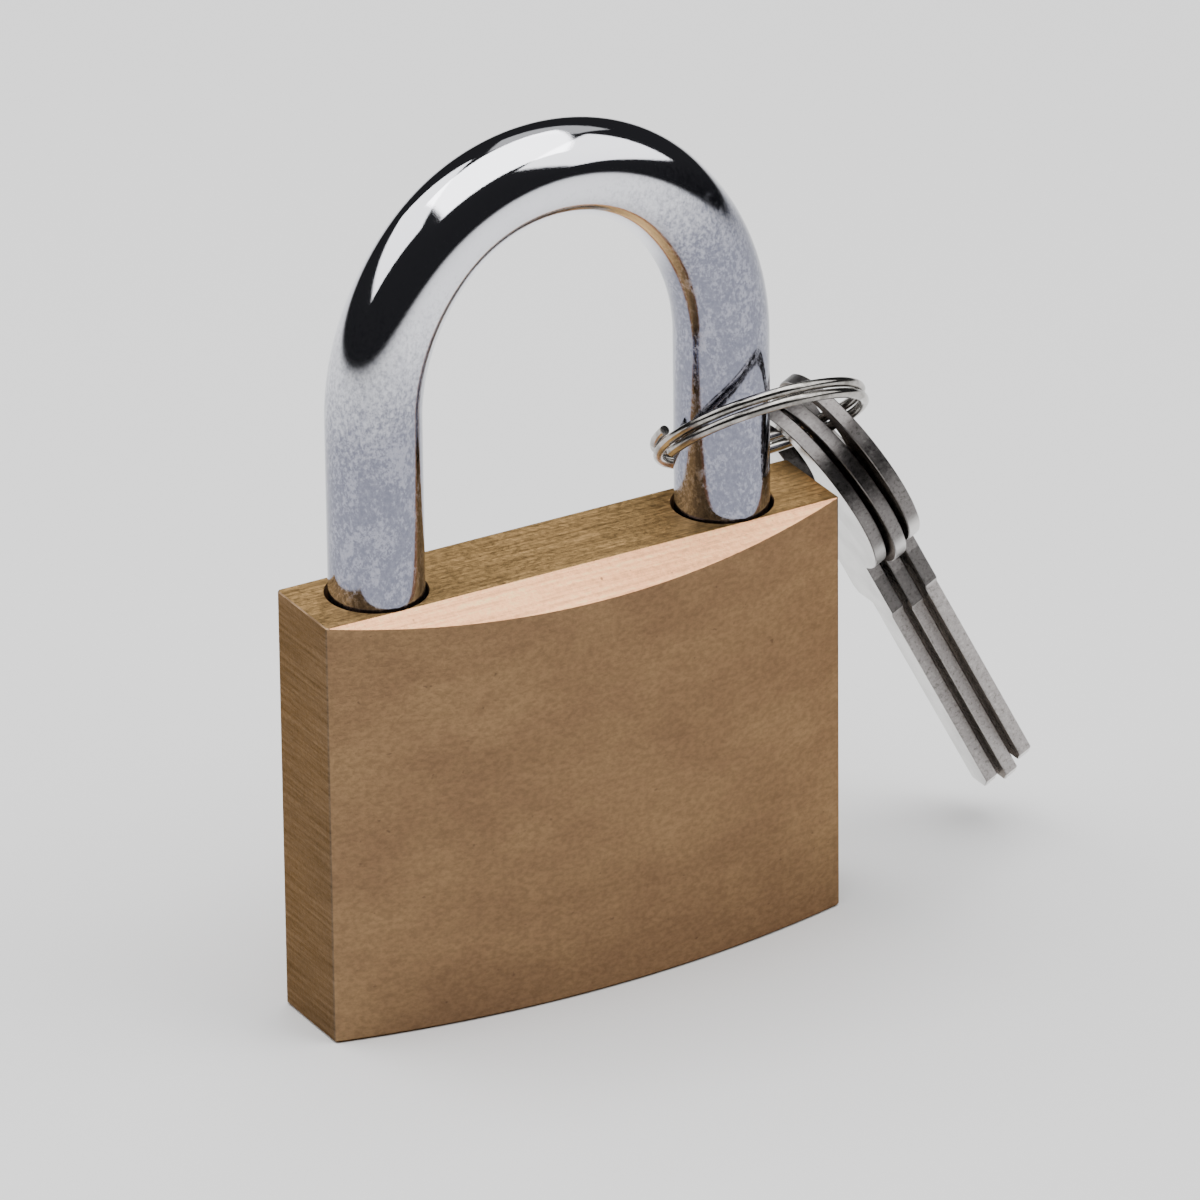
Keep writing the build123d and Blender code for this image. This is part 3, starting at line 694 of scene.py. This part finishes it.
@dataclass
class ShackleBar:
    """Round bar bent to an arch of three arcs, with a necked heel and a notched toe."""

    bar_diameter: float = 0.0099
    body_top: float = 0.0471
    leg_straight: float = 0.0191
    haunch_extra: float = 0.0044
    haunch_angle: float = 43.5
    end_chamfer: float = 0.0009
    collar_height: float = 0.0035
    neck_diameter: float = 0.0066
    neck_length: float = 0.0152
    notch_height: float = 0.0058
    notch_depth: float = 0.0016
    notch_radius: float = 0.0087
    toe_length: float = 0.0116
    sides: int = 160
    heel_steps: int = 40
    toe_steps: int = 260
    haunch_steps: int = 60
    crown_steps: int = 150
    chrome: CloudedShadedChrome = field(default_factory=CloudedShadedChrome)

    def __post_init__(self) -> None:
        """Take the legs' places from the frame."""
        low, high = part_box("shackle")
        self.radius = self.bar_diameter / 2.0
        self.heel_x = low[0] + self.radius
        self.toe_x = high[0] - self.radius
        self.heel_end = low[2]
        self.toe_end = self.body_top - self.toe_length
        self.spring_line = self.body_top + self.leg_straight

    def heel_rows(self) -> tuple[np.ndarray, np.ndarray]:
        """Heights and radii up the heel leg: chamfer, collar, neck and full bar."""
        r, neck = self.radius, self.neck_diameter / 2.0
        collar = self.heel_end + self.collar_height
        top = collar + self.neck_length
        height = [self.heel_end, self.heel_end + self.end_chamfer, collar, collar, top, top]
        radius = [r - self.end_chamfer, r, r, neck, neck, r]
        plain = np.linspace(top, self.spring_line, self.heel_steps)[1:-1]
        return np.concatenate([height, plain]), np.concatenate([radius, np.full(plain.size, r)])

    def toe_rows(self) -> tuple[np.ndarray, np.ndarray]:
        """Heights and radii down the toe leg, close together where the notch is."""
        foot = self.toe_end + self.end_chamfer
        plain = np.linspace(self.spring_line, foot, self.toe_steps)[1:]
        height = np.append(plain, self.toe_end)
        radius = np.append(np.full(plain.size, self.radius), self.radius - self.end_chamfer)
        return height, radius

    def arch(self) -> tuple[np.ndarray, np.ndarray]:
        """Centre line of the arch as places in XZ and directions as angles from +Z towards +X.

        Each arc's points are centre + R (-cos a, sin a), with a the angle turned so far.
        """
        half = (self.toe_x - self.heel_x) / 2.0
        haunch = half + self.haunch_extra
        bend = math.radians(self.haunch_angle)
        crown = haunch - self.haunch_extra / math.cos(bend)
        middle = (self.toe_x + self.heel_x) / 2.0
        rise = np.linspace(0.0, bend, self.haunch_steps)
        over = np.linspace(bend, math.pi - bend, self.crown_steps)[1:-1]
        fall = np.linspace(math.pi - bend, math.pi, self.haunch_steps)
        crown_z = self.spring_line + (haunch - crown) * math.sin(bend)
        left, right = (self.heel_x + haunch, self.spring_line), (self.toe_x - haunch, self.spring_line)
        centres = [left, (middle, crown_z), right]
        radii = [haunch, crown, haunch]
        places = [
            np.stack([x - r * np.cos(a), z + r * np.sin(a)], axis=-1)
            for (x, z), r, a in zip(centres, radii, (rise, over, fall))
        ]
        return np.concatenate(places), np.concatenate([rise, over, fall])

    def notch(self, grid: np.ndarray) -> np.ndarray:
        """Grind the toe: points left of the wheel's round face move right onto it."""
        z = grid[..., 2] - (self.toe_end + self.notch_height)
        wheel = self.toe_x - self.radius + self.notch_depth - self.notch_radius
        face = wheel + np.sqrt(np.clip(self.notch_radius ** 2 - z ** 2, 0.0, None))
        on_toe = (grid[..., 0] > (self.heel_x + self.toe_x) / 2.0) & (np.abs(z) < self.notch_radius)
        grid[..., 0] = np.where(on_toe, np.maximum(grid[..., 0], face), grid[..., 0])
        return grid

    def build(self) -> None:
        """Build and dress the bar."""
        heel_z, heel_r = self.heel_rows()
        toe_z, toe_r = self.toe_rows()
        bend, turned = self.arch()
        heel = np.stack([np.full(heel_z.size, self.heel_x), heel_z], axis=-1)
        toe = np.stack([np.full(toe_z.size, self.toe_x), toe_z], axis=-1)
        flat = np.concatenate([heel, bend, toe])
        angle = np.concatenate([np.zeros(heel_z.size), turned, np.full(toe_z.size, math.pi)])
        radius = np.concatenate([heel_r, np.full(turned.size, self.radius), toe_r])
        path = np.stack([flat[:, 0], np.zeros(len(flat)), flat[:, 1]], axis=-1)
        out = np.stack([-np.cos(angle), np.zeros(angle.size), np.sin(angle)], axis=-1)
        across = np.broadcast_to([0.0, -1.0, 0.0], out.shape)
        grid = self.notch(tube(path, out, across, radius, self.sides))
        piece = skin("shackle_bar", grid)
        finish_piece(piece, "shackle", Slot.CHROME, ["shackle"], self.chrome.make())


@dataclass
class SplitRing:
    """Two turns of round wire round the toe leg."""

    shackle: ShackleBar
    radius: float = 0.0109
    wire: float = 0.00105
    pitch: float = 0.00118
    turns: int = 2
    tilt: float = 41.0
    lean: float = 3.0
    side_gap: float = 0.001175
    forward: float = 0.0005
    height: float = 0.0079
    sides: int = 24
    steps: int = 160
    nickel: NickelWire = field(default_factory=NickelWire)

    def axes(self) -> tuple[np.ndarray, np.ndarray, np.ndarray, np.ndarray]:
        """Centre of the ring and its three axes, the last along its wind."""
        tilt, lean = math.radians(self.tilt), math.radians(self.lean)
        normal = np.array([math.sin(lean), math.sin(tilt) * math.cos(lean), math.cos(tilt) * math.cos(lean)])
        right = np.array([normal[2], 0.0, -normal[0]])
        right /= np.linalg.norm(right)
        wind = -normal
        bar = self.shackle
        centre_x = bar.toe_x + self.radius - self.wire / 2.0 - bar.radius - self.side_gap
        centre = np.array([centre_x, -self.forward, bar.body_top + self.height])
        return centre, right, np.cross(wind, right), wind

    def build(self) -> None:
        """Build and dress the ring: centre + R (cos a right + sin a up) + pitch a / 2 pi along the wind."""
        centre, right, up, wind = self.axes()
        turn = np.linspace(0.0, self.turns, self.turns * self.steps + 1)
        angle = (2.0 * np.pi * turn + np.pi)[:, None]
        out = np.cos(angle) * right + np.sin(angle) * up
        rise = (self.pitch * (turn - self.turns / 2.0))[:, None]
        path = centre + self.radius * out + rise * wind
        across = np.broadcast_to(wind, out.shape)
        radius = np.full(turn.size, self.wire / 2.0)
        piece = skin("ring_wire", tube(path, out, across, radius, self.sides)[::-1], sharp=WIRE_CREASE)
        finish_piece(piece, "split_ring", Slot.WIRE, ["split_ring"], self.nickel.make())


@dataclass
class KeySet:
    """Three flat keys on the ring."""

    edge: float = 0.00010
    count: int = 3
    blade_length: float = 0.0266
    nickel: NickelKey = field(default_factory=NickelKey)

    def reach(self, node: str, direction: Triple) -> tuple[float, float]:
        """Least and greatest place of a node's points along a direction."""
        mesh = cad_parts[node].data
        points = np.empty(3 * len(mesh.vertices), dtype=np.float32)
        mesh.vertices.foreach_get("co", points)
        places = points.reshape(-1, 3) @ np.array(direction)
        return float(places.min()), float(places.max())

    def build(self) -> None:
        """Build and dress the keys."""
        names = [f"key_{number}" for number in range(1, self.count + 1)]
        first = self.reach(names[0], self.nickel.square())[0] + 2.0 * self.edge
        last = self.reach(names[-1], self.nickel.square())[1] - 2.0 * self.edge
        for node in names:
            foot = self.reach(node, self.nickel.length())[1] - self.blade_length
            piece = eased_copy(node, f"{node}_flat", self.edge)
            nickel = self.nickel.make(f"{node}_nickel", KeyMarks(first, last, foot))
            finish_piece(piece, node, Slot.KEY, [node], nickel)


@dataclass
class CoilSpring:
    """A compression spring of round wire, wound between its two seats.

    Attributes:
        node: The CAD node that it stands for, which sets its two ends.
        seat: The CAD node whose middle its axis runs through.
        axis: Its axis: 0 for X, 1 for Y, 2 for Z.
        coil: Radius of its coils at the wire's middle.
        wire: The wire's diameter.
        turns: Number of coils.
        steps: Points to a coil.
        sides: Points round the wire.
    """

    node: str
    seat: str
    axis: int
    coil: float
    wire: float
    turns: int
    steps: int = 40
    sides: int = 12

    def build(self, steel: bpy.types.Material) -> bpy.types.Object:
        """Build and dress the spring: seat's axis + R (cos a, sin a) across it, rising evenly along it.

        Args:
            steel: The wire's material.

        Returns:
            The piece.
        """
        low, high = (np.array(corner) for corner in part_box(self.node))
        middle = np.mean([np.array(corner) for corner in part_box(self.seat)], axis=0)
        way, right, up = np.roll(np.eye(3), -self.axis, axis=0)
        turn = np.linspace(0.0, self.turns, self.turns * self.steps + 1)
        angle = (2.0 * np.pi * turn)[:, None]
        out = np.cos(angle) * right + np.sin(angle) * up
        start, end = low @ way + self.wire / 2.0, high @ way - self.wire / 2.0
        place = (start + (end - start) * turn / self.turns)[:, None] * way
        path = middle - (middle @ way) * way + place + self.coil * out
        radius = np.full(turn.size, self.wire / 2.0)
        grid = tube(path, out, np.broadcast_to(way, out.shape), radius, self.sides)
        piece = skin(f"{self.node}_wire", grid[::-1], sharp=WIRE_CREASE)
        finish_piece(piece, "body", Slot.SPRING, [self.node], steel)
        return piece


@dataclass
class LockWorks:
    """Plug, tailpiece, bolt, pin stacks and springs inside the body."""

    pin_stacks: int = 5
    edge: float = 0.0001
    bolt_seat: float = -0.0114458
    bolt_squeezed: float = 0.46

    def springs(self) -> list[CoilSpring]:
        """The springs under the heel, behind the bolt and behind each driver pin."""
        heel = CoilSpring("shackle_spring", "shackle_spring", axis=2, coil=0.00405, wire=0.0010, turns=4)
        bolt = CoilSpring("bolt_spring", "bolt_bore_plug", axis=0, coil=0.00255, wire=0.0006, turns=5)
        pins = [
            CoilSpring(f"pin_spring_{n}", f"driver_pin_{n}", axis=0, coil=0.00105, wire=0.0004, turns=5)
            for n in range(1, self.pin_stacks + 1)
        ]
        return [heel, bolt, *pins]

    def build(self) -> None:
        """Dress the works, wind the springs and give the bolt's spring a mesh of its own."""
        brass = Turned("turned_brass", (0.46, 0.31, 0.155), (0.30, 0.19, 0.095)).make()
        steel = Turned("turned_steel", (0.50, 0.50, 0.51), (0.32, 0.31, 0.30)).make()
        wire = Turned("spring_wire", (0.40, 0.40, 0.42), (0.24, 0.23, 0.22), 0.25).make()
        plug = eased_copy("plug", "plug_face", self.edge)
        finish_piece(plug, "plug", Slot.PLUG, ["plug"], brass)
        dressed = {"tailpiece": brass, "locking_bolt": steel}
        for number in range(1, self.pin_stacks + 1):
            dressed[f"key_pin_{number}"] = brass
            dressed[f"driver_pin_{number}"] = brass
        for node, material in dressed.items():
            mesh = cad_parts[node].data
            mesh.materials.clear()
            mesh.materials.append(material)
            log.info("%s is dressed", node)
        pieces = {spring.node: spring.build(wire) for spring in self.springs()}
        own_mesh(pieces["bolt_spring"])


@dataclass(frozen=True)
class SoftBox:
    """One large soft light, aimed at the lock."""

    name: str
    azimuth: float
    elevation: float
    width: float
    height: float
    radiance: float
    distance: float = 1.0

    def build(self, target: Vector) -> None:
        """Hang the light in its direction from the target: azimuth from -Y towards +X.

        Args:
            target: The point that the light is aimed at.
        """
        turn, lift = math.radians(self.azimuth), math.radians(self.elevation)
        back = Vector((math.sin(turn) * math.cos(lift), -math.cos(turn) * math.cos(lift), math.sin(lift)))
        data = bpy.data.lights.new(self.name, "AREA")
        data.shape = "RECTANGLE"
        data.size = self.width
        data.size_y = self.height
        data.energy = self.radiance * math.pi * self.width * self.height
        lamp = bpy.data.objects.new(self.name, data)
        aim = back.to_track_quat("Z", "Y").to_matrix().to_4x4()
        lamp.matrix_world = Matrix.Translation(target + back * self.distance) @ aim
        bpy.context.scene.collection.objects.link(lamp)


@dataclass(frozen=True)
class Studio:
    """Pale floor, soft boxes and the camera at the photograph's angle."""

    azimuth: float = -29.658
    elevation: float = 25.903
    roll: float = -0.631
    distance: float = 1.29811
    target: Triple = (0.0, 0.0, 0.048)
    slide: float = -0.004091
    rise: float = 0.006587
    focal_pixels: float = 12755.0
    image_pixels: float = 1200.0
    sensor: float = 36.0
    clip_near: float = 0.05
    clip_far: float = 20.0
    floor_half: float = 4.0
    dusk: Colour = (0.020, 0.020, 0.022)
    boxes: tuple[SoftBox, ...] = (
        SoftBox("right_box", azimuth=57.0, elevation=41.0, width=1.0, height=0.70, radiance=2.5),
        SoftBox("left_box", azimuth=-130.0, elevation=42.0, width=1.2, height=0.64, radiance=2.5),
        SoftBox("top_box", azimuth=0.0, elevation=89.9, width=1.2, height=1.2, radiance=4.2),
        SoftBox("back_fill", azimuth=140.0, elevation=50.0, width=0.7, height=0.35, radiance=0.6),
    )

    def build_floor(self) -> None:
        """Lay the floor as a grid of four squares."""
        side = np.linspace(-self.floor_half, self.floor_half, 3)
        x, y = np.meshgrid(side, side)
        points = np.stack([x.ravel(), y.ravel(), np.zeros(x.size)], axis=-1)
        corner = np.array([0, 1, 3, 4])[:, None]
        faces = corner + np.array([0, 1, 4, 3])
        mesh = bpy.data.meshes.new("floor")
        mesh.from_pydata(points.tolist(), [], faces.tolist())
        mesh.materials.append(PaleFloor().make())
        put(mesh, "floor")

    def build_light(self) -> None:
        """Hang the soft boxes and darken the room behind them."""
        for box in self.boxes:
            box.build(Vector(self.target))
        world = bpy.data.worlds.new("studio")
        world.use_nodes = True
        world.node_tree.nodes["Background"].inputs["Color"].default_value = (*self.dusk, 1.0)
        bpy.context.scene.world = world

    def build_camera(self) -> None:
        """Stand the camera: back looks from the target to the camera, right and up are turned by the roll."""
        turn, lift, roll = (math.radians(v) for v in (self.azimuth, self.elevation, self.roll))
        back = Vector((math.sin(turn) * math.cos(lift), -math.cos(turn) * math.cos(lift), math.sin(lift)))
        level = Vector((math.cos(turn), math.sin(turn), 0.0))
        over = back.cross(level)
        right = math.cos(roll) * level + math.sin(roll) * over
        up = math.cos(roll) * over - math.sin(roll) * level
        eye = Vector(self.target) - self.slide * right - self.rise * up + self.distance * back
        data = bpy.data.cameras.new("camera")
        data.sensor_width = self.sensor
        data.lens = self.focal_pixels / self.image_pixels * self.sensor
        data.clip_start = self.clip_near
        data.clip_end = self.clip_far
        camera = bpy.data.objects.new("camera", data)
        camera.matrix_world = Matrix.Translation(eye) @ Matrix((right, up, back)).transposed().to_4x4()
        bpy.context.scene.collection.objects.link(camera)
        bpy.context.scene.camera = camera

    def build(self) -> None:
        """Build the floor, the light and the camera."""
        self.build_floor()
        self.build_light()
        self.build_camera()


def main() -> None:
    """Build every sub-assembly in order."""
    logging.basicConfig(level=logging.INFO, format="%(name)s: %(message)s")
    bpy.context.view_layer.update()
    shackle = ShackleBar()
    for assembly in (BodyBlock(), shackle, SplitRing(shackle), KeySet(), LockWorks(), Studio()):
        assembly.build()
        log.info("%s is built", type(assembly).__name__)


if __name__ == "__main__":
    main()
